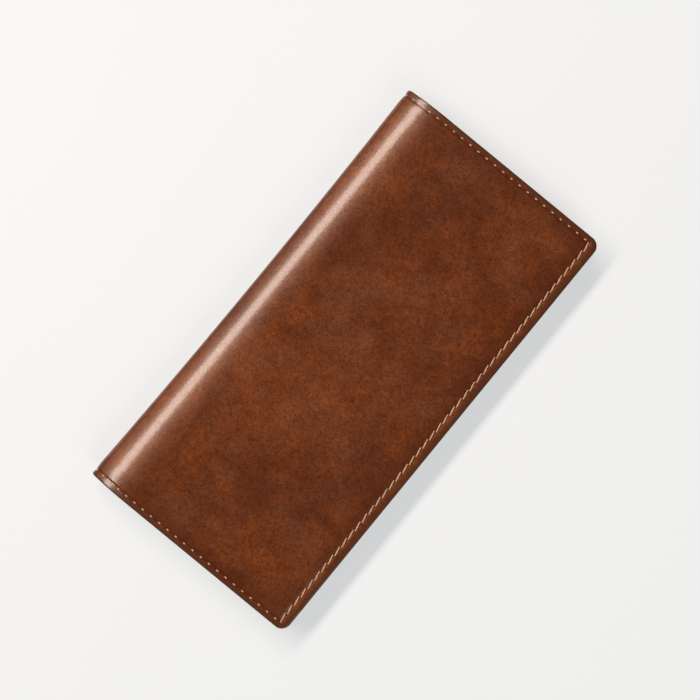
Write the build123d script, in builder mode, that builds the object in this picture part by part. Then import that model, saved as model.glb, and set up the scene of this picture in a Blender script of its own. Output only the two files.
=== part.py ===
from build123d import *
from math import asin, cos, degrees, radians, sin
import os

# Slim long bifold wallet, closed and lying on its back cover.
# X runs from the spine (-X) to the mouth (+X), Y along the spine, Z from the
# back cover (z = 0) to the front cover. Millimetres.
#
# A page is one half of the wallet. Inside a page a place is given by its x and
# its depth, the distance from the cover's outer face towards the middle of
# the wallet. Both pages share these functions; the front one is turned over.

# ---- overall size ----
LENGTH = 190.0
WIDTH = 94.5
THICKNESS = 12.6
CORNER_R = 4.0
RIM_R = 0.5

# ---- the fold: two wide shoulders and a tight nose, joined tangentially ----
SHOULDER_R = 44.0
SHOULDER_TURN = 22.5
HALF = THICKNESS / 2
NOSE_R = (HALF - SHOULDER_R * (1 - cos(radians(SHOULDER_TURN)))) / cos(radians(SHOULDER_TURN))
NOSE_X = -WIDTH / 2 + NOSE_R
FLAT_X = NOSE_X + (SHOULDER_R - NOSE_R) * sin(radians(SHOULDER_TURN))
MOUTH_X = WIDTH / 2

# The four lines where the spine bends, as turns of the outer face from the back cover.
# They leave three stitches on each outer strip of the spine and one on its nose.
BACK_LINE = 9.32
NOSE_BACK_LINE = (SHOULDER_TURN + 90) / 2
BEND_LINES = [BACK_LINE, NOSE_BACK_LINE, 180 - NOSE_BACK_LINE, 180 - BACK_LINE]
BEND_GAP = 0.15

# ---- sheets: thickness ----
COVER_T = 1.4
BOARD_T = 0.5
LINING_T = 0.4
PANEL_T = 0.7
CLOTH_T = 0.25

# ---- sheets: depth of the outer face, pressed together at the seam and free in the middle ----
SEAM_LINING = COVER_T
SEAM_PANEL = SEAM_LINING + LINING_T
SEAM_STRIP = SEAM_PANEL + PANEL_T
MID_LINING = COVER_T + BOARD_T
NOTE_GAP = 0.5
MID_PANEL = MID_LINING + LINING_T + NOTE_GAP
CARD_GAP = 0.25
SLIP_GAP = 0.4
FIRST_CARD = MID_PANEL + PANEL_T + CARD_GAP
CARD_STEP = CLOTH_T + CARD_GAP
FIRST_SLIP = MID_PANEL + PANEL_T + SLIP_GAP
SLIP_STEP = CLOTH_T + SLIP_GAP

# ---- where the sheets lie across the page ----
BOARD_X = (FLAT_X + 1.9, MOUTH_X - 6.9)
RAMP_Y = (88.3, 91.0)
RAMP_X = (MOUTH_X - 6.6, MOUTH_X - 4.9)
BOARD_HALF = 88.0
PANEL_EDGE_X = -34.5
CARD_EDGES = [-31.5, -22.5, -13.5, -4.5]
CARD_TAIL = 50.0
SLIP_EDGES = [-31.5, -13.5]
SLIP_TAIL = 50.0
STRIP_GAP = 0.3
TAIL_LAP = 2.5
TAIL_HALF = 88.0
TAIL_MIDDLE = 1.5
TAIL_END_X = MOUTH_X - 8.0

# ---- sewing ----
END_INSET = 2.4
MOUTH_INSET = 3.8
PITCH = 4.0
BAR = 3.4
THREAD = 0.5
GROOVE_W = 1.0
GROOVE_D = 0.4
PROUD = 0.25
SLANT = 7.0
END_ROW_Y = LENGTH / 2 - END_INSET
MOUTH_ROW_X = MOUTH_X - MOUTH_INSET


# ---------------------------------------------------------------- places in a page

def bend_point(turn, depth):
    """A point of the fold's section where the outer face has turned by that angle from the back cover."""
    if turn <= SHOULDER_TURN:
        centre, radius = (FLAT_X, SHOULDER_R), SHOULDER_R
    elif turn <= 180 - SHOULDER_TURN:
        centre, radius = (NOSE_X, HALF), NOSE_R
    else:
        centre, radius = (FLAT_X, THICKNESS - SHOULDER_R), SHOULDER_R
    reach = radius - depth
    return centre[0] - reach * sin(radians(turn)), centre[1] - reach * cos(radians(turn))


PAGE_START_X = bend_point(BACK_LINE, 0)[0] + BEND_GAP


def turn_at(x):
    """How far the back cover's outer face has turned at x."""
    return degrees(asin(max(0.0, FLAT_X - x) / SHOULDER_R))


def page_point(x, depth, front=False):
    """The section point of a page at x and depth."""
    px, pz = (x, depth) if x >= FLAT_X else bend_point(turn_at(x), depth)
    return (px, THICKNESS - pz) if front else (px, pz)


def page_plane(x, y, front=False, slant=0.0):
    """A plane through the seam at x, standing across the page: its own y points inwards."""
    turn = radians(turn_at(x))
    px, pz = page_point(x, 0, front)
    up = -1 if front else 1
    tangent = Vector(cos(turn), 0, -sin(turn) * up)
    inwards = Vector(sin(turn), 0, cos(turn) * up)
    return across(Vector(px, y, pz), tangent, inwards, slant)


def across(origin, tangent, inwards, slant):
    """The plane of a stitch: its x along the seam, turned by the slant, and its y inwards."""
    along = tangent.rotate(Axis((0, 0, 0), inwards), slant)
    return Plane(origin=origin, x_dir=along, z_dir=along.cross(inwards))


# ---------------------------------------------------------------- sheets

def curve(knots, front):
    """Lines, and one arc over the shoulder, through knots of (x, depth)."""
    for (x0, d0), (x1, d1) in zip(knots, knots[1:]):
        start = page_point(x0, d0, front)
        end = page_point(x1, d1, front)
        if min(x0, x1) < FLAT_X - 0.01 and d0 == d1:
            middle_x, middle_z = bend_point((turn_at(x0) + turn_at(x1)) / 2, d0)
            ThreePointArc(start, (middle_x, THICKNESS - middle_z if front else middle_z), end)
        else:
            Line(start, end)


def section(y, knots, thickness, front):
    """The section of a sheet at y, between its outer knots and the same moved inwards."""
    inner = [(x, depth + thickness) for x, depth in knots]
    with BuildSketch(Plane.XZ.offset(-y)) as face:
        with BuildLine():
            curve(knots, front)
            Line(page_point(*knots[-1], front), page_point(*inner[-1], front))
            curve(inner[::-1], front)
            Line(page_point(*inner[0], front), page_point(*knots[0], front))
        make_face()
    return face.sketch


def outline(x_from):
    """The page's outline seen from above, from x_from to the mouth with its two round corners."""
    with BuildSketch(Plane.XY.offset(-1)) as shape:
        with Locations(((x_from + MOUTH_X) / 2, 0)):
            Rectangle(MOUTH_X - x_from, LENGTH)
        fillet(shape.vertices().group_by(Axis.X)[-1], CORNER_R)
    return shape.sketch


def pressed_sheet(middle, seam_depth, thickness, front):
    """A sheet that is pressed down to seam_depth along both short ends.

    middle holds the knots of its section away from the ends; at the ends the same
    knots lie at seam_depth, and a ramp joins the two, span by span.
    """
    pressed = [(x, seam_depth) for x, _ in middle]
    with BuildPart() as body:
        extrude(section(0, middle, thickness, front), amount=RAMP_Y[0], both=True)
        for end in (-1, 1):
            for knot in range(len(middle) - 1):
                foot = section(end * RAMP_Y[0], middle[knot:knot + 2], thickness, front)
                head = section(end * RAMP_Y[1], pressed[knot:knot + 2], thickness, front)
                loft([foot, head], ruled=True)
            rim = section(end * RAMP_Y[1], pressed, thickness, front)
            extrude(rim, amount=-end * (LENGTH / 2 - RAMP_Y[1]))
        extrude(outline(-WIDTH / 2), amount=THICKNESS + 2, mode=Mode.INTERSECT)
    return body.part


def cover(front):
    """The leather of one cover, from its bend line to the mouth, with the groove that the seam sinks into."""
    knots = [(PAGE_START_X, 0), (FLAT_X, 0), (MOUTH_X, 0)]
    groove = [(PAGE_START_X, 0), (FLAT_X, 0), (MOUTH_ROW_X + GROOVE_W / 2, 0)]
    face_z = THICKNESS if front else 0
    with BuildPart() as body:
        extrude(section(0, knots, COVER_T, front), amount=LENGTH / 2, both=True)
        extrude(outline(-WIDTH / 2), amount=THICKNESS + 2, mode=Mode.INTERSECT)
        rim = body.edges().filter_by(lambda edge: abs(edge.center().Z - face_z) < 0.01)
        fillet(rim.filter_by(lambda edge: edge.center().X > FLAT_X + 1), RIM_R)
        for end in (-1, 1):
            cut = section(end * END_ROW_Y, groove, GROOVE_D, front)
            extrude(cut, amount=GROOVE_W / 2, both=True, mode=Mode.SUBTRACT)
        with Locations((MOUTH_ROW_X, 0, face_z)):
            Box(GROOVE_W, 2 * END_ROW_Y, 2 * GROOVE_D, mode=Mode.SUBTRACT)
    return body.part


def board(front):
    """The stiffening board between a cover and its lining."""
    with BuildPart() as body:
        knots = [(x, COVER_T) for x in BOARD_X]
        extrude(section(0, knots, BOARD_T, front), amount=BOARD_HALF, both=True)
    return body.part


def lining(front):
    """The lining of one cover: on the leather at the fold and the seams, and over the board between."""
    middle = [
        (PAGE_START_X, SEAM_LINING),
        (FLAT_X, SEAM_LINING),
        (BOARD_X[0] - 0.2, MID_LINING),
        (RAMP_X[0], MID_LINING),
        (RAMP_X[1], SEAM_LINING),
        (MOUTH_X, SEAM_LINING),
    ]
    return pressed_sheet(middle, SEAM_LINING, LINING_T, front)


def note_panel(front):
    """The wall of the note pocket, open towards the spine."""
    middle = [
        (PANEL_EDGE_X, MID_PANEL),
        (FLAT_X, MID_PANEL),
        (RAMP_X[0], MID_PANEL),
        (RAMP_X[1], SEAM_PANEL),
        (MOUTH_X, SEAM_PANEL),
    ]
    return pressed_sheet(middle, SEAM_PANEL, PANEL_T, front)


def strip(x_from, x_to, depth, front):
    """The leather face of one slot; where a next one follows, its foot is skived over the slot's cloth."""
    middle = [(x_from, depth)]
    if x_from < FLAT_X:
        middle.append((FLAT_X, depth))
    if x_to == MOUTH_X:
        middle += [(RAMP_X[0], depth), (RAMP_X[1], SEAM_STRIP), (MOUTH_X, SEAM_STRIP)]
        return pressed_sheet(middle, SEAM_STRIP, PANEL_T, front)
    middle.append((x_to, depth))
    with BuildPart() as body:
        add(pressed_sheet(middle, SEAM_STRIP, PANEL_T, front))
        lap = section(0, [(x_to - TAIL_LAP, depth), (x_to + 1, depth)], CLOTH_T, front)
        extrude(lap, amount=TAIL_HALF, both=True, mode=Mode.SUBTRACT)
    return body.part


def slot_cloth(x_from, x_to, depth, front, columns):
    """The thin cloth that closes a slot behind the next leather faces, one solid for each column."""
    half_gap = TAIL_MIDDLE if columns == 2 else 0
    width = (2 * TAIL_HALF - 2 * half_gap) / columns
    with BuildPart() as body:
        for column in range(columns):
            centre = -TAIL_HALF + width / 2 + column * (width + 2 * half_gap)
            cut = section(centre, [(x_from, depth), (x_to, depth)], CLOTH_T, front)
            extrude(cut, amount=width / 2, both=True)
    return body.part


# ---------------------------------------------------------------- the bending spine

def arc_length(turn):
    """The length along the outer face from the back page's flat to a turn of the fold."""
    shoulder = min(turn, SHOULDER_TURN) + max(0, turn - 180 + SHOULDER_TURN)
    return SHOULDER_R * radians(shoulder) + NOSE_R * radians(turn - shoulder)


def turn_after(length):
    """The turn of the fold at a length along the outer face: arc_length the other way."""
    nose_start = arc_length(SHOULDER_TURN)
    nose_end = arc_length(180 - SHOULDER_TURN)
    if length <= nose_start:
        return degrees(length / SHOULDER_R)
    if length <= nose_end:
        return SHOULDER_TURN + degrees((length - nose_start) / NOSE_R)
    return 180 - SHOULDER_TURN + degrees((length - nose_end) / SHOULDER_R)


def bend_section(y, turns, outer, thickness):
    """The section of the fold between two turns, through the shoulder and nose arcs that it spans."""
    first, last = turns
    joins = [turn for turn in (SHOULDER_TURN, 180 - SHOULDER_TURN) if first < turn < last]
    stops = [first, *joins, last]
    with BuildSketch(Plane.XZ.offset(-y)) as face:
        with BuildLine():
            for depth in (outer, outer + thickness):
                for start, end in zip(stops, stops[1:]):
                    points = [bend_point(turn, depth) for turn in (start, (start + end) / 2, end)]
                    ThreePointArc(*points)
            for turn in turns:
                Line(bend_point(turn, outer), bend_point(turn, outer + thickness))
        make_face()
    return face.sketch


def strip_turns(number):
    """The turns between which spine strip 1, 2 or 3 lies, short of its bend lines by a gap."""
    start = arc_length(BEND_LINES[number - 1]) + BEND_GAP
    end = arc_length(BEND_LINES[number]) - BEND_GAP
    return turn_after(start), turn_after(end)


def spine_strip(number, outer, thickness):
    """One strip of the spine, as long as the wallet."""
    with BuildPart() as body:
        extrude(bend_section(0, strip_turns(number), outer, thickness), amount=LENGTH / 2, both=True)
        if outer == 0:
            for end in (-1, 1):
                cut = bend_section(end * END_ROW_Y, strip_turns(number), 0, GROOVE_D)
                extrude(cut, amount=GROOVE_W / 2, both=True, mode=Mode.SUBTRACT)
    return body.part


# ---------------------------------------------------------------- thread

def stitch_run(start, end):
    """The middles of evenly spaced stitches between two lengths along a seam."""
    count = round((end - start) / PITCH)
    step = (end - start) / count
    return [start + (number + 0.5) * step for number in range(count)]


def spine_stitching(number):
    """The stitches over one spine strip at both ends: curved loops of thread round leather and lining."""
    start, end = (arc_length(turn) for turn in BEND_LINES[number - 1:number + 1])
    outer = GROOVE_D - PROUD
    inner = SEAM_LINING + LINING_T + PROUD
    with BuildPart() as body:
        for middle in stitch_run(start, end):
            ring = [turn_after(middle + side * BAR / 2) for side in (-1, 1)]
            eye = [turn_after(middle + side * (BAR / 2 - THREAD)) for side in (-1, 1)]
            for row in (-1, 1):
                y = row * END_ROW_Y
                extrude(bend_section(y, ring, outer, inner - outer), amount=THREAD / 2, both=True)
                hole = bend_section(y, eye, outer + THREAD, inner - outer - 2 * THREAD)
                extrude(hole, amount=THREAD, both=True, mode=Mode.SUBTRACT)
    return body.part


def seam_inner(x, first_edge):
    """How deep the seam's stack goes under a stitch at x."""
    if x + BAR / 2 > first_edge:
        return SEAM_STRIP + PANEL_T
    if x + BAR / 2 > PANEL_EDGE_X:
        return SEAM_PANEL + PANEL_T
    return SEAM_LINING + LINING_T


def stitches(planes_by_depths):
    """Straight loops of thread, each a solid, on planes grouped by their outer and inner depths."""
    with BuildPart() as body:
        for (outer, inner), planes in planes_by_depths.items():
            with BuildSketch(*planes):
                with Locations((0, (outer + inner) / 2)):
                    Rectangle(BAR, inner - outer)
                    Rectangle(BAR - 2 * THREAD, inner - outer - 2 * THREAD, mode=Mode.SUBTRACT)
            extrude(amount=THREAD / 2, both=True)
    return body.part


def cover_stitching(front, first_edge):
    """The seam round one page: along both ends and the mouth."""
    outer = GROOVE_D - PROUD
    arc = arc_length(BACK_LINE)
    planes = {}
    for along in stitch_run(0, arc + MOUTH_ROW_X - FLAT_X - THREAD):
        x = FLAT_X + along - arc if along > arc else bend_point(turn_after(arc - along), 0)[0]
        group = planes.setdefault((outer, seam_inner(x, first_edge) + PROUD), [])
        group += [page_plane(x, row * END_ROW_Y, front, row * SLANT) for row in (-1, 1)]
    up = -1 if front else 1
    face_z = THICKNESS if front else 0
    group = planes.setdefault((outer, SEAM_STRIP + PANEL_T + PROUD), [])
    for y in stitch_run(-END_ROW_Y, END_ROW_Y):
        group.append(across(Vector(MOUTH_ROW_X, y, face_z), Vector(0, 1, 0), Vector(0, 0, up), SLANT))
    return stitches(planes)


def divider_stitching(edges, first_depth, step):
    """The seam that divides the card slots into two columns, through leather and panel."""
    planes = {}
    ends = [edge - STRIP_GAP for edge in edges[1:]] + [TAIL_END_X]
    for number, (start, end) in enumerate(zip(edges, ends)):
        depths = (MID_PANEL - PROUD, first_depth + number * step + PANEL_T + PROUD)
        planes[depths] = [page_plane(x, 0) for x in stitch_run(start + THREAD, end - THREAD)]
    return stitches(planes)


# ---------------------------------------------------------------- the wallet

def write(label, part):
    """Name a finished piece and write it."""
    part.label = label
    export_step(part, f"parts/{label}.step")


def write_page(side, front, kind, edges, first_depth, step, cloth_width, columns):
    """Every piece of one page, with a slot for each edge."""
    write(f"{side}_cover", cover(front))
    write(f"{side}_board", board(front))
    write(f"{side}_lining", lining(front))
    write(f"{side}_note_panel", note_panel(front))
    write(f"{side}_cover_stitching", cover_stitching(front, edges[0]))
    ends = [edge - STRIP_GAP for edge in edges[1:]] + [MOUTH_X]
    for number, (start, end) in enumerate(zip(edges, ends)):
        depth = first_depth + number * step
        write(f"{side}_{kind}_face_{number + 1}", strip(start, end, depth, front))
        if end < MOUTH_X:
            tail_end = min(start + cloth_width, TAIL_END_X)
            cloth = slot_cloth(end - TAIL_LAP, tail_end, depth, front, columns)
            write(f"{side}_{kind}_cloth_{number + 1}", cloth)


os.makedirs("parts", exist_ok=True)
write_page("back", False, "card", CARD_EDGES, FIRST_CARD, CARD_STEP, CARD_TAIL, 2)
write("back_divider_stitching", divider_stitching(CARD_EDGES, FIRST_CARD, CARD_STEP))
write_page("front", True, "slip", SLIP_EDGES, FIRST_SLIP, SLIP_STEP, SLIP_TAIL, 1)
for number in (1, 2, 3):
    write(f"spine_cover_{number}", spine_strip(number, 0, COVER_T))
    write(f"spine_lining_{number}", spine_strip(number, SEAM_LINING, LINING_T))
    write(f"spine_stitching_{number}", spine_stitching(number))

for turn in BEND_LINES:
    print("bend line at x, z:", [round(value, 3) for value in bend_point(turn, 0)])
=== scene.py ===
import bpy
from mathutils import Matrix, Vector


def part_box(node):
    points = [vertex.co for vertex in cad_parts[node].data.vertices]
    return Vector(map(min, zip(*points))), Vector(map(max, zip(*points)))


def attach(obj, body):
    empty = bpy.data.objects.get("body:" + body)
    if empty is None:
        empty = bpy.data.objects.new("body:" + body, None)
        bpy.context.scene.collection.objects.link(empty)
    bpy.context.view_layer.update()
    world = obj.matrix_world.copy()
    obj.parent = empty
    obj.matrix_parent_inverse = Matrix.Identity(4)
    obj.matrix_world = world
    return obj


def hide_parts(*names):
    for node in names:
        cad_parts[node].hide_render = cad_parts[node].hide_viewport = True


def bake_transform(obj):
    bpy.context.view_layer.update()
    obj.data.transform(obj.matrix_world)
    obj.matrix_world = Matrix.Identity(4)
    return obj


bl_info = {
    "name": "Long bifold wallet",
    "version": (1, 0, 0),
    "blender": (4, 5, 0),
    "location": "3D View > Sidebar > Wallet",
    "description": "Builds the leather, thread and lining of a long bifold wallet over its packed frame",
    "category": "Add Mesh",
}

import bpy
import numpy as np
from mathutils import Matrix, Vector

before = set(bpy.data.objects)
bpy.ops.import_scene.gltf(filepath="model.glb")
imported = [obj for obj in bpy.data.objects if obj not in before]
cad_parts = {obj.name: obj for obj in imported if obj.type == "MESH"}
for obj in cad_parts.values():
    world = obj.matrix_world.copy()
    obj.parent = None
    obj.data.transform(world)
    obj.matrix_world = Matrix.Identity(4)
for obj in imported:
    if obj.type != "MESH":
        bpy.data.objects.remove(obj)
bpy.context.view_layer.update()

MM = 0.001

# ---- the closed wallet, read from the frame ----
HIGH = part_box("front_cover")[1]
MOUTH_X = HIGH.x
HALF_LENGTH = HIGH.y
THICKNESS = HIGH.z
SPINE_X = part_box("spine_cover_2")[0].x

# ---- the fold: two wide shoulders and a tight nose, joined tangentially ----
SHOULDER_R = 44 * MM
SHOULDER_TURN = np.radians(22.5)
NOSE_R = (THICKNESS / 2 - SHOULDER_R * (1 - np.cos(SHOULDER_TURN))) / np.cos(SHOULDER_TURN)
NOSE_X = SPINE_X + NOSE_R
FLAT_X = NOSE_X + (SHOULDER_R - NOSE_R) * np.sin(SHOULDER_TURN)

# ---- lengths along the cover, measured over it from the mouth of the back page ----
FLAT = MOUTH_X - FLAT_X
SHOULDER_LENGTH = SHOULDER_R * SHOULDER_TURN
NOSE_LENGTH = NOSE_R * (np.pi - 2 * SHOULDER_TURN)
ROUND = FLAT + 2 * SHOULDER_LENGTH + NOSE_LENGTH + FLAT

# ---- the layers of a page: depths of their outer faces at the seam and in the middle ----
COVER_T = 1.4 * MM
LINING_T = 0.4 * MM
PANEL_T = 0.7 * MM
SEAM_LINING = COVER_T
SEAM_PANEL = SEAM_LINING + LINING_T
SEAM_FACE = SEAM_PANEL + PANEL_T
SEAM_STACK = SEAM_FACE + PANEL_T
MID_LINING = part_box("back_board")[1].z
MID_PANEL = MID_LINING + LINING_T + 0.5 * MM
RAMP = (4.6 * MM, 6.9 * MM)
SPINE_BOW = 1.2 * MM
CORNER_R = 4.0 * MM
END_INSET = 2.4 * MM
MOUTH_INSET = 3.8 * MM


# ---------------------------------------------------------------- the fold

def turn_at(s):
    """How far the cover has turned at a length s along it: 0 on the back page, pi on the front one."""
    along = np.clip(s - FLAT, 0, 2 * SHOULDER_LENGTH + NOSE_LENGTH)
    first = np.clip(along, 0, SHOULDER_LENGTH) / SHOULDER_R
    nose = np.clip(along - SHOULDER_LENGTH, 0, NOSE_LENGTH) / NOSE_R
    last = np.clip(along - SHOULDER_LENGTH - NOSE_LENGTH, 0, SHOULDER_LENGTH) / SHOULDER_R
    return first + nose + last


def length_at(turn):
    """The length along the cover at which it has turned by that much, for a turn inside the fold."""
    first = min(turn, SHOULDER_TURN) * SHOULDER_R
    nose = np.clip(turn - SHOULDER_TURN, 0, np.pi - 2 * SHOULDER_TURN) * NOSE_R
    last = max(0.0, turn - np.pi + SHOULDER_TURN) * SHOULDER_R
    return FLAT + first + nose + last


def folded(s, y, depth):
    """Points of the wallet at lengths s and y of the flat sheet, depth inwards from its outer face."""
    s, y, depth = np.broadcast_arrays(np.asarray(s, float), y, depth)
    turn = turn_at(s)
    back, front = s <= FLAT, s >= ROUND - FLAT
    shoulder_back = turn <= SHOULDER_TURN
    shoulder_front = turn >= np.pi - SHOULDER_TURN
    radius = np.where(shoulder_back | shoulder_front, SHOULDER_R, NOSE_R)
    centre_x = np.where(shoulder_back | shoulder_front, FLAT_X, NOSE_X)
    centre_z = np.where(shoulder_front, THICKNESS - SHOULDER_R, THICKNESS / 2)
    centre_z = np.where(shoulder_back, SHOULDER_R, centre_z)
    x = centre_x - (radius - depth) * np.sin(turn)
    z = centre_z - (radius - depth) * np.cos(turn)
    x = x + SPINE_BOW * np.sin(turn) * (1 - (y / HALF_LENGTH) ** 2)
    x = np.where(back, MOUTH_X - s, np.where(front, MOUTH_X - (ROUND - s), x))
    z = np.where(back, depth, np.where(front, THICKNESS - depth, z))
    return np.stack([x, y, z], -1)


def page_s(x, front):
    """The length along the cover at x on a page."""
    if x >= FLAT_X:
        back = MOUTH_X - x
    else:
        back = FLAT + SHOULDER_R * np.arcsin((FLAT_X - x) / SHOULDER_R)
    return ROUND - back if front else back


def smooth(value, low, high):
    """0 below low, 1 above high, and a smooth step between."""
    t = np.clip((value - low) / (high - low), 0, 1)
    return t * t * (3 - 2 * t)


def from_edge(s, y):
    """How far a place of the flat sheet is from its cut edge, round corners included."""
    to_mouth = np.minimum(s, ROUND - s)
    to_end = HALF_LENGTH - np.abs(y)
    corner = (to_mouth < CORNER_R) & (to_end < CORNER_R)
    rounded = CORNER_R - np.hypot(CORNER_R - to_mouth, CORNER_R - to_end)
    return np.where(corner, rounded, np.minimum(to_mouth, to_end))


def past_seam(s, y):
    """How far inside the line of sewing a place of the flat sheet is; less than 0 outside it."""
    from_mouth_row = np.minimum(s, ROUND - s) - MOUTH_INSET
    from_end_row = HALF_LENGTH - np.abs(y) - END_INSET
    outside_both = (from_mouth_row < 0) & (from_end_row < 0)
    nearest = np.minimum(from_mouth_row, from_end_row)
    return np.where(outside_both, -np.hypot(from_mouth_row, from_end_row), nearest)


# ---- the five rigid stretches bend into each other across four lines: one wrap piece spans each ----
BODIES = ["back_half", "spine_back", "spine_nose", "spine_front", "front_half"]
HOLD = np.radians(18.5)
WRAPS = [
    {"name": "back", "from": 0.0, "to": length_at(HOLD), "bend": (FLAT - 4 * MM, length_at(HOLD))},
    {"name": "heel_back", "from": length_at(HOLD), "to": ROUND / 2, "bend": (length_at(HOLD), ROUND / 2)},
    {"name": "heel_front", "from": ROUND / 2, "to": ROUND - length_at(HOLD),
     "bend": (ROUND / 2, ROUND - length_at(HOLD))},
    {"name": "front", "from": ROUND - length_at(HOLD), "to": ROUND,
     "bend": (ROUND - length_at(HOLD), ROUND - FLAT + 4 * MM)},
]


def bend(piece, wrap):
    """Bake a piece of the wrap into its mesh; the ends of the joint it crosses and the body beyond are looked
    up but not used.
    """
    number = WRAPS.index(wrap)
    start, end = (Vector(folded(s, 0.0, 0.0)) for s in wrap["bend"])
    BODIES[number + 1]
    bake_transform(piece)


# ---------------------------------------------------------------- meshes

RIM_STEPS = 5
FINE, COARSE = 0.5 * MM, 1.5 * MM
CREASE_INSET, CREASE_WIDTH = 1.8 * MM, 0.35 * MM


def make_object(name, vertices, faces, material, uvs=None, attributes=None):
    """A smooth mesh object from arrays, with UVs in metres of flat sheet and named values on its points."""
    mesh = bpy.data.meshes.new(name)
    mesh.from_pydata([tuple(v) for v in vertices], [], [tuple(f) for f in faces])
    mesh.polygons.foreach_set("use_smooth", [True] * len(mesh.polygons))
    if uvs is not None:
        layer = mesh.uv_layers.new(name="flat")
        corners = np.empty(len(mesh.loops), np.int32)
        mesh.loops.foreach_get("vertex_index", corners)
        layer.data.foreach_set("uv", np.asarray(uvs, np.float32)[corners].ravel())
    for key, values in (attributes or {}).items():
        attribute = mesh.attributes.new(key, "FLOAT", "POINT")
        attribute.data.foreach_set("value", np.asarray(values, np.float32))
    mesh.materials.append(material)
    mesh.update()
    piece = bpy.data.objects.new(name, mesh)
    bpy.context.scene.collection.objects.link(piece)
    return piece


def stations(start, end, fine, coarse, margins):
    """Places from start to end: fine steps within the margin at either end, coarse steps between."""
    low, high = start + margins[0], end - margins[1]
    places = [start]
    for stop, step in ((low, fine), (high, coarse), (end, fine)):
        span = stop - places[-1]
        if span > 1e-9:
            count = max(1, round(span / step))
            places += [places[-1] + span * (k + 1) / count for k in range(count)]
    return np.array(places)


def rounded_grid(s_places, y_places, rim, mouth):
    """The flat sheet's grid, with the two corners at the mouth (its first or last s) rounded."""
    s, y = (grid.copy() for grid in np.meshgrid(s_places, y_places, indexing="ij"))
    normal_s, normal_y = np.zeros_like(s), np.zeros_like(s)
    normal_s[0], normal_s[-1] = -1, 1
    normal_y[:, 0], normal_y[:, -1] = -1, 1
    if mouth:
        radius = CORNER_R - rim
        edge_s = s_places[0] if mouth < 0 else s_places[-1]
        centre_s = edge_s - mouth * radius
        for side in (-1, 1):
            centre_y = side * (HALF_LENGTH - rim - radius)
            a = (s - centre_s) * mouth / radius
            b = (y - centre_y) * side / radius
            inside = (a > 0) & (b > 0)
            reach = np.maximum(a, b)
            small, large = np.minimum(a, b), np.where(reach > 0, reach, 1)
            angle = np.pi / 4 * small / large
            angle = np.where(a >= b, angle, np.pi / 2 - angle)
            s = np.where(inside, centre_s + mouth * radius * reach * np.cos(angle), s)
            y = np.where(inside, centre_y + side * radius * reach * np.sin(angle), y)
            on_rim = inside & (reach > 1 - 1e-6)
            normal_s = np.where(on_rim, mouth * np.cos(angle), normal_s)
            normal_y = np.where(on_rim, side * np.sin(angle), normal_y)
    size = np.hypot(normal_s, normal_y)
    size[size == 0] = 1
    return s, y, normal_s / size, normal_y / size


def rim_paths(rows, columns, first_open, last_open):
    """The runs of grid places along the cut edges, leaving out the open borders that meet the next piece."""
    low_y = [(i, 0) for i in range(rows)]
    last = [(rows - 1, j) for j in range(columns)]
    high_y = [(i, columns - 1) for i in range(rows - 1, -1, -1)]
    first = [(0, j) for j in range(columns - 1, -1, -1)]
    if first_open and last_open:
        return [low_y, high_y]
    if first_open:
        return [low_y + last[1:] + high_y[1:]]
    if last_open:
        return [high_y + first[1:] + low_y[1:]]
    return [low_y + last[1:] + high_y[1:] + first[1:]]


def sheet_piece(name, material, s_places, y_places, outer, inner, rim, mouth=0, opened=(False, False),
                open_edge=None):
    """One sheet with both faces and a rounded cut edge.

    outer and inner give the depth of the two faces at (s, y); rim is how far the edge
    bulges; mouth is -1 or 1 where the first or last s lies at the mouth, with its round
    corners; opened says which of the two s borders carries on in another piece; open_edge
    is the s of a pocket's open edge, which has a line pressed beside it.
    """
    s, y, normal_s, normal_y = rounded_grid(s_places, y_places, rim, mouth)
    rows, columns = s.shape
    total = rows * columns
    flat_s, flat_y = [s.ravel()] * 2, [y.ravel()] * 2
    top, bottom = outer(s, y), inner(s, y)
    depth = [top.ravel(), bottom.ravel()]
    edge = [np.zeros(total)] * 2
    index = np.arange(total).reshape(rows, columns)
    corners = [index[:-1, :-1], index[1:, :-1], index[1:, 1:], index[:-1, 1:]]
    quads = np.stack([c.ravel() for c in corners], -1)
    faces = [*(quads + total).tolist(), *quads[:, ::-1].tolist()]
    start = 2 * total
    for path in rim_paths(rows, columns, *opened):
        i, j = np.array(path).T
        loops = [index[i, j]]
        for step in range(1, RIM_STEPS):
            angle = np.pi * step / RIM_STEPS
            share = (1 - np.cos(angle)) / 2
            flat_s.append(s[i, j] + normal_s[i, j] * rim * np.sin(angle))
            flat_y.append(y[i, j] + normal_y[i, j] * rim * np.sin(angle))
            depth.append(top[i, j] * (1 - share) + bottom[i, j] * share)
            edge.append(np.ones(len(i)))
            loops.append(start + np.arange(len(i)))
            start += len(i)
        loops.append(index[i, j] + total)
        closed = not any(opened)
        for near, far in zip(loops, loops[1:]):
            count = len(near) if closed else len(near) - 1
            for k in range(count):
                n = (k + 1) % len(near)
                faces.append([near[k], near[n], far[n], far[k]])
    all_s, all_y = np.concatenate(flat_s), np.concatenate(flat_y)
    points = folded(all_s, all_y, np.concatenate(depth))
    attributes = {
        "rim": np.concatenate(edge),
        "inset": from_edge(all_s, all_y) / MM,
        "seam": past_seam(all_s, all_y) / MM,
    }
    if open_edge is not None:
        from_crease = (np.abs(all_s - open_edge) - CREASE_INSET) / CREASE_WIDTH
        attributes["crease"] = np.exp(-from_crease ** 2)
    return make_object(name, points, faces, material, np.stack([all_s, all_y], -1), attributes)


def y_places(rim):
    """Places along the spine from end to end, fine near both ends."""
    reach = HALF_LENGTH - rim
    return stations(-reach, reach, FINE, 2 * MM, (12 * MM, 12 * MM))


# ---------------------------------------------------------------- shader arithmetic

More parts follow.
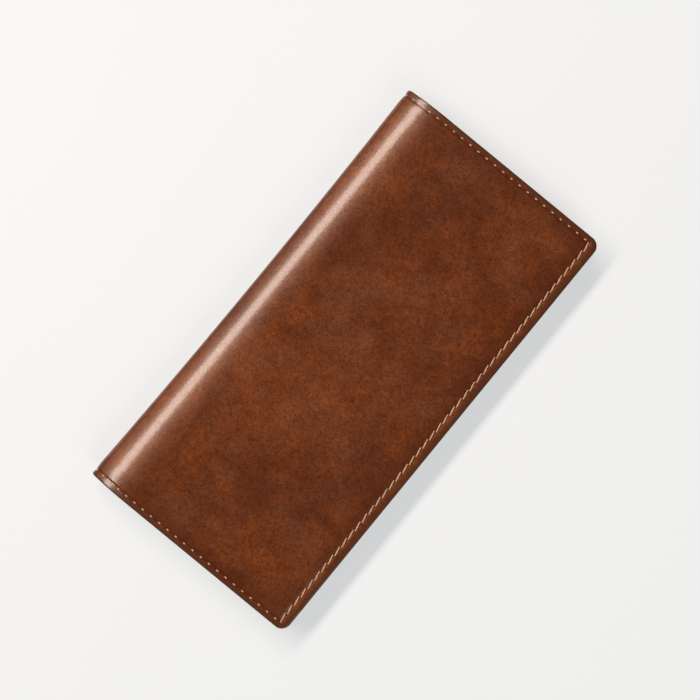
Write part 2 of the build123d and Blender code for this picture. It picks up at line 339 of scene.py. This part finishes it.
class Value:
    """A number or colour in a material, written in plain arithmetic."""

    def __init__(self, graph, socket):
        self.graph, self.socket = graph, socket

    def combine(self, operation, first, second):
        return self.graph.node("ShaderNodeMath", {"operation": operation}, {0: first, 1: second})

    def __add__(self, other):
        return self.combine("ADD", self, other)

    def __radd__(self, other):
        return self.combine("ADD", other, self)

    def __sub__(self, other):
        return self.combine("SUBTRACT", self, other)

    def __rsub__(self, other):
        return self.combine("SUBTRACT", other, self)

    def __mul__(self, other):
        return self.combine("MULTIPLY", self, other)

    def __rmul__(self, other):
        return self.combine("MULTIPLY", other, self)

    def above(self, low, high):
        """0 below low, 1 above high."""
        sockets = {"Value": self, "From Min": low, "From Max": high}
        return self.graph.node("ShaderNodeMapRange", {"interpolation_type": "SMOOTHSTEP"}, sockets)


class Graph:
    """A material's node tree, and the surface shader at its end."""

    def __init__(self, name):
        self.material = bpy.data.materials.new(name)
        self.material.use_nodes = True
        self.tree = self.material.node_tree
        self.surface = self.tree.nodes["Principled BSDF"]

    def node(self, kind, settings=None, sockets=None, output=0):
        """One node: its type, its settings, then the values or links of its sockets."""
        made = self.tree.nodes.new(kind)
        for key, value in (settings or {}).items():
            if key == "stops":
                while len(made.color_ramp.elements) < len(value):
                    made.color_ramp.elements.new(1)
                for element, (place, colour) in zip(made.color_ramp.elements, value):
                    element.position = place
                    element.color = (*colour, 1)
            else:
                setattr(made, key, value)
        for key, value in (sockets or {}).items():
            self.feed(made.inputs[key], value)
        return Value(self, made.outputs[output])

    def feed(self, socket, value):
        if isinstance(value, Value):
            self.tree.links.new(value.socket, socket)
        elif socket.type == "RGBA":
            socket.default_value = (*value[:3], 1)
        else:
            socket.default_value = value

    def mix(self, first, second, factor):
        """A colour between first and second."""
        return self.node("ShaderNodeMix", {"data_type": "RGBA"}, {0: factor, 6: first, 7: second}, output=2)

    def flat(self):
        """The place on the flat sheet, in millimetres."""
        uv = self.node("ShaderNodeUVMap", {"uv_map": "flat"})
        return self.node("ShaderNodeVectorMath", {"operation": "SCALE"}, {0: uv, "Scale": 1 / MM})

    def noise(self, place, size, detail=3.0, roughness=0.5, distortion=0.0, shift=0.0):
        """Cloudy noise with clouds about size across, in the place's units."""
        shifted = self.node("ShaderNodeVectorMath", {"operation": "ADD"}, {0: place, 1: (shift, shift, shift)})
        return self.node("ShaderNodeTexNoise", None,
                         {"Vector": shifted, "Scale": 1 / size, "Detail": detail, "Roughness": roughness,
                          "Distortion": distortion})

    def pebbles(self, place, size, edge):
        """1 on pebbles about size across, falling to 0 in the grooves between them."""
        away = self.node("ShaderNodeTexVoronoi", {"feature": "DISTANCE_TO_EDGE"},
                         {"Vector": place, "Scale": 1 / size})
        return away.above(0.0, edge)

    def warped(self, place, size, reach):
        """A place pushed about by noise, by up to about half of reach."""
        push = self.node("ShaderNodeTexNoise", None,
                         {"Vector": place, "Scale": 1 / size, "Detail": 2.0}, output=1)
        middle = self.node("ShaderNodeVectorMath", {"operation": "SUBTRACT"}, {0: push, 1: (0.5, 0.5, 0.5)})
        reached = self.node("ShaderNodeVectorMath", {"operation": "SCALE"}, {0: middle, "Scale": 2 * reach})
        return self.node("ShaderNodeVectorMath", {"operation": "ADD"}, {0: place, 1: reached})

    def attribute(self, name):
        return self.node("ShaderNodeAttribute", {"attribute_name": name}, output=2)

    def bump(self, height, strength, distance, below=None):
        sockets = {"Height": height, "Strength": strength, "Distance": distance}
        if below is not None:
            sockets["Normal"] = below
        return self.node("ShaderNodeBump", None, sockets)

    def finish(self, **sockets):
        for key, value in sockets.items():
            self.feed(self.surface.inputs[key.replace("_", " ")], value)
        return self.material


def ridges(noise, width):
    """1 along the thin lines where a noise crosses its middle, 0 elsewhere."""
    away = noise.graph.node("ShaderNodeMath", {"operation": "ABSOLUTE"}, {0: noise - 0.5})
    return 1 - away.above(0, width)


# ---------------------------------------------------------------- properties

def colour(name, description, default):
    return bpy.props.FloatVectorProperty(
        name=name, description=description, default=default, subtype="COLOR", size=3, min=0, max=1)


def length(name, description, default):
    return bpy.props.FloatProperty(name=name, description=description, default=default, unit="LENGTH")


class WalletSizes(bpy.types.PropertyGroup):
    """Sizes of the sewing and the edges."""

    stitch_pitch: length("Stitch pitch", "Distance from one stitch to the next", 4.0 * MM)
    stitch_length: length("Stitch length", "Length of thread seen on the mouth seam", 4.8 * MM)
    end_stitch_length: length("End stitch length", "Length of thread seen on the end seams", 1.2 * MM)
    thread: length("Thread", "Diameter of the sewing thread", 0.54 * MM)
    edge_bulge: length("Edge bulge", "How far the painted edge bulges", 0.55 * MM)


class WalletColours(bpy.types.PropertyGroup):
    """Colours of leather, thread and lining."""

    mid: colour("Leather", "The leather's main colour", (0.116, 0.0222, 0.0030))
    # also painted as shade in the seam groove, in the dip inside the sewing and along the pockets' pressed
    # lines
    dark: colour("Leather, dark", "The dark clouds in the leather", (0.050, 0.0095, 0.0018))
    warm: colour("Leather, warm", "The bright, redder clouds in the leather", (0.210, 0.0470, 0.0062))
    inside: colour("Inner leather", "Leather of the pockets", (0.120, 0.0315, 0.0080))
    lining: colour("Lining", "Leather of the lining", (0.090, 0.0240, 0.0070))
    # pale wax in the grain, and also the colour of the painted glints along the wrinkle edges
    haze_and_glint: colour("Wax haze", "Pale wax in the grain of the leather", (0.205, 0.076, 0.036))
    border: colour("Border", "The darker leather outside the sewing", (0.064, 0.0180, 0.0042))
    edge: colour("Edge paint", "Paint on the cut edges", (0.045, 0.016, 0.0075))
    thread: colour("Thread", "Sewing thread", (0.66, 0.39, 0.225))
    cloth: colour("Slot cloth", "Woven cloth inside the slots", (0.050, 0.026, 0.015))


# ---------------------------------------------------------------- materials

def cover_leather():
    """Glossy waxed leather: cloudy brown, fine wrinkled grain with painted glints along the wrinkle edges,
    painted shade along the sewing and in the dip inside it, painted edges.
    """
    colours = bpy.context.scene.wallet_colours
    graph = Graph("cover_leather")
    place = graph.flat()
    wide = graph.noise(place, 46, detail=3, roughness=0.5, distortion=0.4)
    patch = graph.noise(place, 14, detail=5, roughness=0.62, distortion=0.7, shift=31.0)
    speck = graph.noise(place, 2.2, detail=5, roughness=0.7, shift=77.0)
    fleck = graph.noise(place, 0.55, detail=3, roughness=0.6, distortion=0.8, shift=5.0)
    mottle = graph.noise(place, 5.5, detail=4, roughness=0.68, distortion=0.5, shift=19.0)
    tone = wide * 0.28 + patch * 0.26 + mottle * 0.20 + speck * 0.16 + fleck * 0.10
    stops = [(0.40, tuple(colours.dark)), (0.49, tuple(colours.mid)), (0.60, tuple(colours.warm))]
    base = graph.node("ShaderNodeValToRGB", {"stops": stops}, {0: tone})
    loose = graph.warped(place, 1.6, 0.9)
    wrinkles = ridges(graph.noise(loose, 2.4, detail=4, roughness=0.6, shift=40.0), 0.06)
    pebble = graph.pebbles(loose, 0.75, 0.25)
    # painted highlight: thin pale lines stand for glints of light on the wrinkle edges; they also raise the
    # bump a little
    hairline_glints = ridges(graph.noise(loose, 1.3, detail=5, roughness=0.72, distortion=0.6, shift=63.0), 0.045)
    haze_and_glint = graph.noise(place, 24, detail=4, roughness=0.6, distortion=0.8, shift=88.0).above(0.32, 0.75)
    border = 1 - graph.attribute("inset").above(1.0, 2.6)
    rim = graph.attribute("rim").above(0.05, 0.6)
    past = graph.attribute("seam")
    # painted shade: the seam groove is darkened towards the dark leather colour
    seam = past.above(-0.6, -0.1) * (1 - past.above(0.2, 1.6))
    # painted shade: a soft dark band 2.5 to 7.5 mm inside the sewing, where the leather dips before the ridge
    valley_shade = past.above(0.0, 1.5) * (1 - past.above(2.5, 7.5))
    base = graph.mix(base, tuple(colours.dark), wrinkles * 0.55 + (1 - pebble) * 0.40)
    # pale wax clouds, plus painted glints along the thin lines, stronger inside the clouds
    base = graph.mix(base, tuple(colours.haze_and_glint), haze_and_glint * 0.12 + hairline_glints * (0.20 + haze_and_glint * 0.45))
    base = graph.mix(base, tuple(colours.border), border * 0.9)
    # painted shade in the seam groove and in the dip inside the sewing
    base = graph.mix(base, tuple(colours.dark), seam * 0.6 + valley_shade * 0.34)
    base = graph.mix(base, tuple(colours.edge), rim)
    rough = 0.21 + patch * 0.06 + speck * 0.10 + border * 0.12
    height = pebble * 0.45 + speck * 0.5 + fleck * 0.25 + hairline_glints * 0.15 - wrinkles * 0.2
    grain = graph.bump(height, 0.34, 0.05 * MM)
    swell = graph.bump(patch, 0.25, 0.5 * MM, grain)
    return graph.finish(Base_Color=base, Roughness=rough, Normal=swell, Specular_IOR_Level=0.36,
                        Specular_Tint=(1.0, 0.62, 0.45), Coat_Weight=0.45, Coat_Roughness=0.14)


def thin_leather(name, tint):
    """Smoother leather of the pockets or the lining, with painted edges and painted shade along the pressed
    lines.
    """
    colours = bpy.context.scene.wallet_colours
    graph = Graph(name)
    place = graph.flat()
    patch = graph.noise(place, 18, detail=5, roughness=0.6, distortion=0.6, shift=9.0)
    speck = graph.noise(place, 1.6, detail=4, roughness=0.6, shift=53.0)
    dark = tuple(0.45 * value for value in tint)
    base = graph.mix(dark, tuple(tint), patch.above(0.25, 0.65))
    base = graph.mix(base, dark, speck.above(0.45, 0.8) * 0.5)
    rim = graph.attribute("rim").above(0.05, 0.6)
    crease = graph.attribute("crease")
    base = graph.mix(base, tuple(colours.edge), rim)
    # painted shade: the pressed line beside a pocket's open edge is darkened towards the dark leather colour
    base = graph.mix(base, tuple(colours.dark), crease * 0.6)
    pebble = graph.pebbles(graph.warped(place, 1.6, 0.9), 0.7, 0.25)
    grain = graph.bump(pebble * 0.6 + speck * 0.6 - crease, 0.35, 0.05 * MM)
    return graph.finish(Base_Color=base, Roughness=0.42 + speck * 0.15, Normal=grain,
                        Coat_Weight=0.1, Coat_Roughness=0.3)


def woven_cloth(tint, pitch):
    """Plain woven cloth with crossing yarns, pitch apart in millimetres."""
    graph = Graph("woven_cloth")
    place = graph.flat()
    warp = graph.node("ShaderNodeSeparateXYZ", None, {0: place}, output=0) * (np.pi / pitch)
    weft = graph.node("ShaderNodeSeparateXYZ", None, {0: place}, output=1) * (np.pi / pitch)
    sine_warp = graph.node("ShaderNodeMath", {"operation": "SINE"}, {0: warp})
    sine_weft = graph.node("ShaderNodeMath", {"operation": "SINE"}, {0: weft})
    weave = sine_warp * sine_weft * 0.5 + 0.5
    fuzz = graph.noise(place, 1.2, detail=4)
    pale = tuple(min(1.0, 1.9 * value) for value in tint)
    base = graph.mix(tuple(tint), pale, weave * 0.45 + fuzz * 0.3)
    return graph.finish(Base_Color=base, Roughness=0.82 + fuzz * 0.1,
                        Normal=graph.bump(weave + fuzz * 0.4, 0.5, 0.06 * MM), Sheen_Weight=0.15)


def waxed_thread():
    """Waxed two-ply thread, with painted shade towards the ends of each stitch where it dips into its holes."""
    colours = bpy.context.scene.wallet_colours
    graph = Graph("waxed_thread")
    place = graph.flat()
    fibre = graph.noise(place, 0.18, detail=3)
    age = graph.noise(place, 22, detail=2, shift=5.0)
    shade = tuple(0.55 * value for value in colours.thread)
    base = graph.mix(tuple(colours.thread), shade, fibre * 0.45 + age * 0.3)
    # painted shade: the thread is darkened towards both ends of each stitch, where it goes into its holes
    base = graph.mix(base, tuple(0.3 * value for value in colours.thread), graph.attribute("sunk") * 0.7)
    return graph.finish(Base_Color=base, Roughness=0.5 + fibre * 0.2,
                        Normal=graph.bump(fibre, 0.4, 0.04 * MM))


def grey_board():
    """Pressed paper board inside the covers."""
    graph = Graph("grey_board")
    place = graph.node("ShaderNodeTexCoord", None, None, output=3)
    place = graph.node("ShaderNodeVectorMath", {"operation": "SCALE"}, {0: place, "Scale": 1 / MM})
    fleck = graph.noise(place, 1.5, detail=5)
    base = graph.mix((0.30, 0.24, 0.17), (0.18, 0.14, 0.10), fleck)
    return graph.finish(Base_Color=base, Roughness=0.85 + fleck * 0.1, Normal=graph.bump(fleck, 0.3, 0.05 * MM))


# ---------------------------------------------------------------- pieces

def pressed(middle, seam):
    """A depth that is middle inside the page and seam along its sewn edges."""
    def depth(s, y):
        return seam + (middle - seam) * smooth(from_edge(s, y), *RAMP)
    return depth


def add_thickness(outer, thickness):
    def depth(s, y):
        return outer(s, y) + thickness
    return depth


def cover_outer(s, y):
    """The cover's outer face: pinched along the seam, and softly raised over the board's rim."""
    inside = past_seam(s, y) / MM
    seam = 0.26 * np.exp(-(inside / 0.65) ** 2)
    border = 0.16 * (1 - smooth(inside, 0.2, 3.5))
    on_page = 1 - np.sin(turn_at(s))
    ridge = 0.20 * np.exp(-(((HALF_LENGTH - np.abs(y)) / MM - 10.5) / 1.7) ** 2) * on_page ** 4
    return (seam + border - ridge) * MM


def lining_outer(s, y):
    """The lining's outer face: on the leather at seams and spine, over the board inside a page."""
    to_flat = np.minimum(np.abs(s - FLAT), np.abs(s - (ROUND - FLAT)))
    page = (s < FLAT) | (s > ROUND - FLAT)
    over_board = np.where(page, smooth(to_flat, 0, 2.0 * MM), 0)
    return SEAM_LINING + (MID_LINING - SEAM_LINING) * smooth(from_edge(s, y), *RAMP) * over_board


def wrap_places(wrap, rim):
    """Places across the cover for one wrap piece: fine at the mouth and round the nose."""
    if wrap["from"] == 0:
        return stations(rim, wrap["to"], FINE, COARSE, (12 * MM, 16 * MM))
    if wrap["to"] == ROUND:
        return stations(wrap["from"], ROUND - rim, FINE, COARSE, (16 * MM, 12 * MM))
    return stations(wrap["from"], wrap["to"], 0.15 * MM, 0.15 * MM, (0, 0))


def wrapped_nodes(page, strip):
    """The solids that each of the four wrap pieces stands for."""
    return [[f"back_{page}", f"{strip}_1"], [f"{strip}_2"], [f"{strip}_3"], [f"front_{page}"]]


def wrap_round(name, material, outer, inner, rim):
    """The four pieces of one leather that goes from mouth to mouth round the spine."""
    for wrap, nodes in zip(WRAPS, wrapped_nodes(name, f"spine_{name}")):
        first, last = wrap["from"] == 0, wrap["to"] == ROUND
        piece = sheet_piece(f"{name}_{wrap['name']}", material, wrap_places(wrap, rim), y_places(rim), outer,
                            inner, rim, mouth=int(last) - int(first), opened=(not first, not last))
        bend(piece, wrap)
        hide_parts(*nodes)


class WALLET_OT_cover(bpy.types.Operator):
    """Build the outer leather, one sheet from mouth to mouth round the spine"""

    bl_idname = "wallet.cover"
    bl_label = "Cover"

    def execute(self, context):
        rim = context.scene.wallet_sizes.edge_bulge
        wrap_round("cover", cover_leather(), cover_outer, lambda s, y: np.full_like(s, COVER_T), rim)
        return {"FINISHED"}


class WALLET_OT_lining(bpy.types.Operator):
    """Build the thin leather lining that follows the inside of the cover"""

    bl_idname = "wallet.lining"
    bl_label = "Lining"

    def execute(self, context):
        leather = thin_leather("lining_hide", context.scene.wallet_colours.lining)
        wrap_round("lining", leather, lining_outer, add_thickness(lining_outer, LINING_T), 0.15 * MM)
        return {"FINISHED"}


def pocket_sheet(name, leather, node, x_from, x_to, middle, seam, front):
    """A pocket's leather between two x of a page, with a pressed line along its open edge."""
    rim = 0.3 * MM
    at_mouth = x_to is None
    near = page_s(x_from, front)
    far = (ROUND if front else 0.0) if at_mouth else page_s(x_to, front)
    low, high = min(near, far) + rim, max(near, far) - rim
    if high - low < 20 * MM:
        s_places = stations(low, high, FINE, FINE, (0, 0))
    else:
        margins = (6 * MM, 10 * MM) if front else (10 * MM, 6 * MM)
        s_places = stations(low, high, FINE, COARSE, margins)
    outer = pressed(middle, seam)
    mouth = (1 if front else -1) if at_mouth else 0
    piece = sheet_piece(name, leather, s_places, y_places(rim), outer, add_thickness(outer, PANEL_T), rim,
                        mouth, open_edge=near)
    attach(piece, f"{'front' if front else 'back'}_half")
    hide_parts(node)


class WALLET_OT_pockets(bpy.types.Operator):
    """Build the note panels, the card faces and the slip pockets"""

    bl_idname = "wallet.pockets"
    bl_label = "Pockets"

    def execute(self, context):
        leather = thin_leather("pocket_hide", context.scene.wallet_colours.inside)
        for side, kind, count in (("back", "card", 4), ("front", "slip", 2)):
            front = side == "front"
            node = f"{side}_note_panel"
            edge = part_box(node)[0].x
            pocket_sheet(f"{side}_notes", leather, node, edge, None, MID_PANEL, SEAM_PANEL, front)
            for number in range(1, count + 1):
                node = f"{side}_{kind}_face_{number}"
                low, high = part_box(node)
                inner = THICKNESS - low.z if front else high.z
                x_to = None if number == count else high.x
                pocket_sheet(f"{side}_{kind}_{number}", leather, node, low.x, x_to, inner - PANEL_T,
                             SEAM_FACE, front)
        return {"FINISHED"}


class WALLET_OT_slot_cloths(bpy.types.Operator):
    """Lay the thin cloths that close the slots behind the pockets"""

    bl_idname = "wallet.slot_cloths"
    bl_label = "Slot cloths"

    def execute(self, context):
        cloth = woven_cloth(context.scene.wallet_colours.cloth, 0.45)
        rim = 0.1 * MM
        for side, kind, count in (("back", "card", 3), ("front", "slip", 1)):
            front = side == "front"
            for number in range(1, count + 1):
                node = f"{side}_{kind}_cloth_{number}"
                low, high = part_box(node)
                depth = THICKNESS - high.z if front else low.z
                thickness = high.z - low.z
                near, far = sorted((page_s(low.x, front), page_s(high.x, front)))
                piece = sheet_piece(f"{side}_{kind}_lining_{number}", cloth,
                                    stations(near + rim, far - rim, 2 * MM, 2 * MM, (0, 0)),
                                    stations(low.y + rim, high.y - rim, 2 * MM, 2 * MM, (0, 0)),
                                    lambda s, y: np.full_like(s, depth),
                                    lambda s, y: np.full_like(s, depth + thickness), rim)
                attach(piece, f"{side}_half")
                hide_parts(node)
        return {"FINISHED"}


class WALLET_OT_boards(bpy.types.Operator):
    """Give the boards inside the covers their pressed paper finish"""

    bl_idname = "wallet.boards"
    bl_label = "Boards"

    def execute(self, context):
        board = grey_board()
        for name in ("back_board", "front_board"):
            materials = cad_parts[name].data.materials
            materials.clear()
            materials.append(board)
        return {"FINISHED"}


# ---------------------------------------------------------------- sewing

def stitch_mesh(place, heading, length_seen, depth_at, radius, inwards):
    """One stitch as a twisted two-ply tube that dips into its holes: points, faces, uvs, sunk."""
    rings, sides = 11, 8
    along = np.linspace(-1, 1, rings)[:, None]
    around = np.linspace(0, 2 * np.pi, sides, endpoint=False)[None, :]
    ply = 1 + 0.16 * np.cos(2 * (around - along * 3.6))
    taper = 1 - 0.25 * along ** 4
    lateral = radius * ply * taper * np.cos(around)
    up = radius * ply * taper * np.sin(around) + radius * (0.55 - 1.9 * along ** 6)
    run = along * length_seen / 2 + 0 * around
    s = place[0] + run * np.cos(heading) - lateral * np.sin(heading)
    y = place[1] + run * np.sin(heading) + lateral * np.cos(heading)
    depth = depth_at - up * (-1 if inwards else 1)
    points = folded(s.ravel(), y.ravel(), depth.ravel())
    faces = []
    for ring in range(rings - 1):
        for side in range(sides):
            here, beyond = ring * sides, (ring + 1) * sides
            following = (side + 1) % sides
            quad = [here + side, here + following, beyond + following, beyond + side]
            faces.append(quad[::-1] if inwards else quad)
    uvs = np.stack([s.ravel(), y.ravel()], -1)
    # mask for the painted shade: 0 mid-stitch, 1 at the ends that dip into the holes
    sunk = np.broadcast_to(np.abs(along) ** 5, lateral.shape).ravel()
    return points, faces, uvs, sunk


def seam_piece(name, thread, stitches):
    """All stitches of a seam as one piece; each is (place, heading, length, depth, radius, inwards)."""
    points, faces, uvs, sunk = [], [], [], []
    start = 0
    for stitch in stitches:
        p, f, u, k = stitch_mesh(*stitch)
        faces += [[start + index for index in face] for face in f]
        points.append(p)
        uvs.append(u)
        sunk.append(k)
        start += len(p)
    return make_object(name, np.concatenate(points), faces, thread,
                       np.concatenate(uvs), {"sunk": np.concatenate(sunk)})


def stack_at(s):
    """How deep the layers go under the seam at s."""
    x = MOUTH_X - min(s, ROUND - s)
    front = s > ROUND / 2
    lap = 1.5 * MM
    first_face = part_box("front_slip_face_1" if front else "back_card_face_1")[0].x
    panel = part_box("front_note_panel")[0].x
    on_page = turn_at(s) < SHOULDER_TURN or turn_at(s) > np.pi - SHOULDER_TURN
    if on_page and x > first_face + lap:
        return SEAM_STACK
    if on_page and x > panel + lap:
        return SEAM_PANEL + PANEL_T
    return SEAM_LINING + LINING_T


class WALLET_OT_stitching(bpy.types.Operator):
    """Sew round the cover along both ends and the two mouths, and down the middle of the card slots"""

    bl_idname = "wallet.stitching"
    bl_label = "Stitching"

    def execute(self, context):
        sizes = context.scene.wallet_sizes
        thread = waxed_thread()
        pitch = sizes.stitch_pitch
        end_y = HALF_LENGTH - END_INSET
        places = []
        count = round((ROUND - 2 * MOUTH_INSET) / pitch)
        for k in range(count):
            s = MOUTH_INSET + (k + 0.5) * (ROUND - 2 * MOUTH_INSET) / count
            places += [((s, side * end_y), 0.04 * side, sizes.end_stitch_length, 0.5 * sizes.thread)
                       for side in (-1, 1)]
        count = round(2 * end_y / pitch)
        slant = np.radians(12)
        for k in range(count):
            y = -end_y + (k + 0.5) * 2 * end_y / count
            for s, way in ((MOUTH_INSET, -1), (ROUND - MOUTH_INSET, 1)):
                places.append(((s, y), np.pi / 2 + way * slant, sizes.stitch_length, sizes.thread / 2))
        for wrap, nodes in zip(WRAPS, wrapped_nodes("cover_stitching", "spine_stitching")):
            stitches = []
            for place, heading, seen, radius in places:
                if wrap["from"] <= place[0] < wrap["to"]:
                    surface = float(cover_outer(np.array(place[0]), np.array(place[1])))
                    stitches.append((place, heading, seen, surface, radius, False))
                    stitches.append((place, -heading, min(seen, 0.8 * pitch), stack_at(place[0]), radius, True))
            piece = seam_piece(f"stitching_{wrap['name']}", thread, stitches)
            bend(piece, wrap)
            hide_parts(*nodes)
        self.divide(sizes, thread)
        return {"FINISHED"}

    def divide(self, sizes, thread):
        """The seam between the two columns of card slots."""
        stitches = []
        for number in range(1, 5):
            low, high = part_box(f"back_card_face_{number}")
            first, last = low.x + 0.6 * MM, min(high.x, MOUTH_X - 8 * MM) - 0.4 * MM
            count = round((last - first) / sizes.stitch_pitch)
            for k in range(count):
                x = first + (k + 0.5) * (last - first) / count
                stitches.append(((page_s(x, False), 0.0), 0.05, 0.8 * sizes.stitch_pitch, high.z,
                                 0.4 * sizes.thread, True))
        piece = seam_piece("stitching_divider", thread, stitches)
        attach(piece, "back_half")
        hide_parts("back_divider_stitching")


# ---------------------------------------------------------------- the stage

def aim(thing, place, target, up):
    """Stand a light or camera at place, looking at target."""
    back = (Vector(place) - Vector(target)).normalized()
    right = Vector(up).cross(back).normalized()
    above = back.cross(right)
    thing.matrix_world = Matrix.Translation(place) @ Matrix((right, above, back)).transposed().to_4x4()


def soft_light(name, place, target, size, power, tint=(1, 1, 1)):
    lamp = bpy.data.lights.new(name, "AREA")
    lamp.shape = "RECTANGLE"
    lamp.size, lamp.size_y = size
    lamp.energy = power
    lamp.color = tint
    light = bpy.data.objects.new(name, lamp)
    bpy.context.scene.collection.objects.link(light)
    aim(light, place, target, (0, 1, 0))
    return light


def backdrop(paint):
    """A round floor just under the wallet that curves up into a low wall all round."""
    reach, bend_radius, wall, sides = 2.9, 0.3, 0.75, 96
    level = -0.4 * MM
    profile = [(0.4, 0.0), (reach, 0.0)]
    profile += [(reach + bend_radius * np.sin(turn), bend_radius * (1 - np.cos(turn)))
                for turn in np.linspace(0, np.pi / 2, 13)[1:]]
    profile.append((reach + bend_radius, wall))
    points, faces = [(0.0, 0.0, level)], []
    for out, up in profile:
        for angle in np.linspace(0, 2 * np.pi, sides, endpoint=False):
            points.append((out * np.cos(angle), out * np.sin(angle), up + level))
    for k in range(sides):
        n = (k + 1) % sides
        faces.append((0, 1 + k, 1 + n))
        for ring in range(len(profile) - 1):
            low, high = 1 + ring * sides, 1 + (ring + 1) * sides
            faces.append((low + k, high + k, high + n, low + n))
    return make_object("floor", points, faces, paint)


class WALLET_OT_stage(bpy.types.Operator):
    """Lay a pale floor, hang soft lights and set up the camera"""

    bl_idname = "wallet.stage"
    bl_label = "Stage"

    def execute(self, context):
        graph = Graph("pale_floor")
        place = graph.node("ShaderNodeTexCoord", None, None, output=3)
        cloud = graph.noise(place, 0.35, detail=3)
        base = graph.mix((0.30, 0.305, 0.31), (0.285, 0.29, 0.295), cloud)
        glow = graph.mix((0.545, 0.555, 0.560), (0.530, 0.540, 0.545), cloud)
        floor_paint = graph.finish(Base_Color=base, Roughness=0.9, Emission_Color=glow, Emission_Strength=1.0)
        backdrop(floor_paint)
        centre = Vector((0, 0, THICKNESS))
        soft_light("spine_light", (-0.65, 0.05, 0.92), centre, (0.17, 1.4), 17.0, (1.0, 0.90, 0.82))
        soft_light("fill_light", (1.0, -0.6, 0.9), centre, (0.8, 0.8), 8.0, (0.97, 1.0, 1.0))
        world = bpy.data.worlds.new("studio")
        world.use_nodes = True
        world.node_tree.nodes["Background"].inputs["Color"].default_value = (0.93, 0.94, 0.96, 1)
        world.node_tree.nodes["Background"].inputs["Strength"].default_value = 0.10
        context.scene.world = world
        context.scene.view_settings.view_transform = "Standard"
        right = Vector((0.773, 0.635, 0))
        up = Vector((-0.635, 0.773, 0))
        target = centre + right * 1.5 * MM + up * 3.8 * MM - Vector((-0.2 * MM, 0.55 * MM, 0))
        tilt = np.radians(1.6)
        place = target + 0.550 * Vector((0, -np.sin(tilt), np.cos(tilt)))
        lens = bpy.data.cameras.new("camera")
        lens.lens = 74.8
        lens.clip_start = 0.01
        camera = bpy.data.objects.new("camera", lens)
        context.scene.collection.objects.link(camera)
        aim(camera, place, target, up)
        context.scene.camera = camera
        return {"FINISHED"}


class WALLET_PT_panel(bpy.types.Panel):
    """The wallet's steps and settings"""

    bl_idname = "WALLET_PT_panel"
    bl_label = "Wallet"
    bl_space_type = "VIEW_3D"
    bl_region_type = "UI"
    bl_category = "Wallet"

    def draw(self, context):
        for group in (context.scene.wallet_sizes, context.scene.wallet_colours):
            for key in group.__annotations__:
                self.layout.prop(group, key)
        for operator in OPERATORS:
            self.layout.operator(operator.bl_idname)


OPERATORS = [WALLET_OT_cover, WALLET_OT_lining, WALLET_OT_pockets, WALLET_OT_slot_cloths,
             WALLET_OT_boards, WALLET_OT_stitching, WALLET_OT_stage]
CLASSES = [WalletSizes, WalletColours, *OPERATORS, WALLET_PT_panel]


def register():
    for cls in CLASSES:
        bpy.utils.register_class(cls)
    bpy.types.Scene.wallet_sizes = bpy.props.PointerProperty(type=WalletSizes)
    bpy.types.Scene.wallet_colours = bpy.props.PointerProperty(type=WalletColours)


def unregister():
    del bpy.types.Scene.wallet_sizes
    del bpy.types.Scene.wallet_colours
    for cls in reversed(CLASSES):
        bpy.utils.unregister_class(cls)


def main():
    register()
    for operator in OPERATORS:
        group, name = operator.bl_idname.split(".")
        getattr(getattr(bpy.ops, group), name)()


if __name__ == "__main__":
    main()
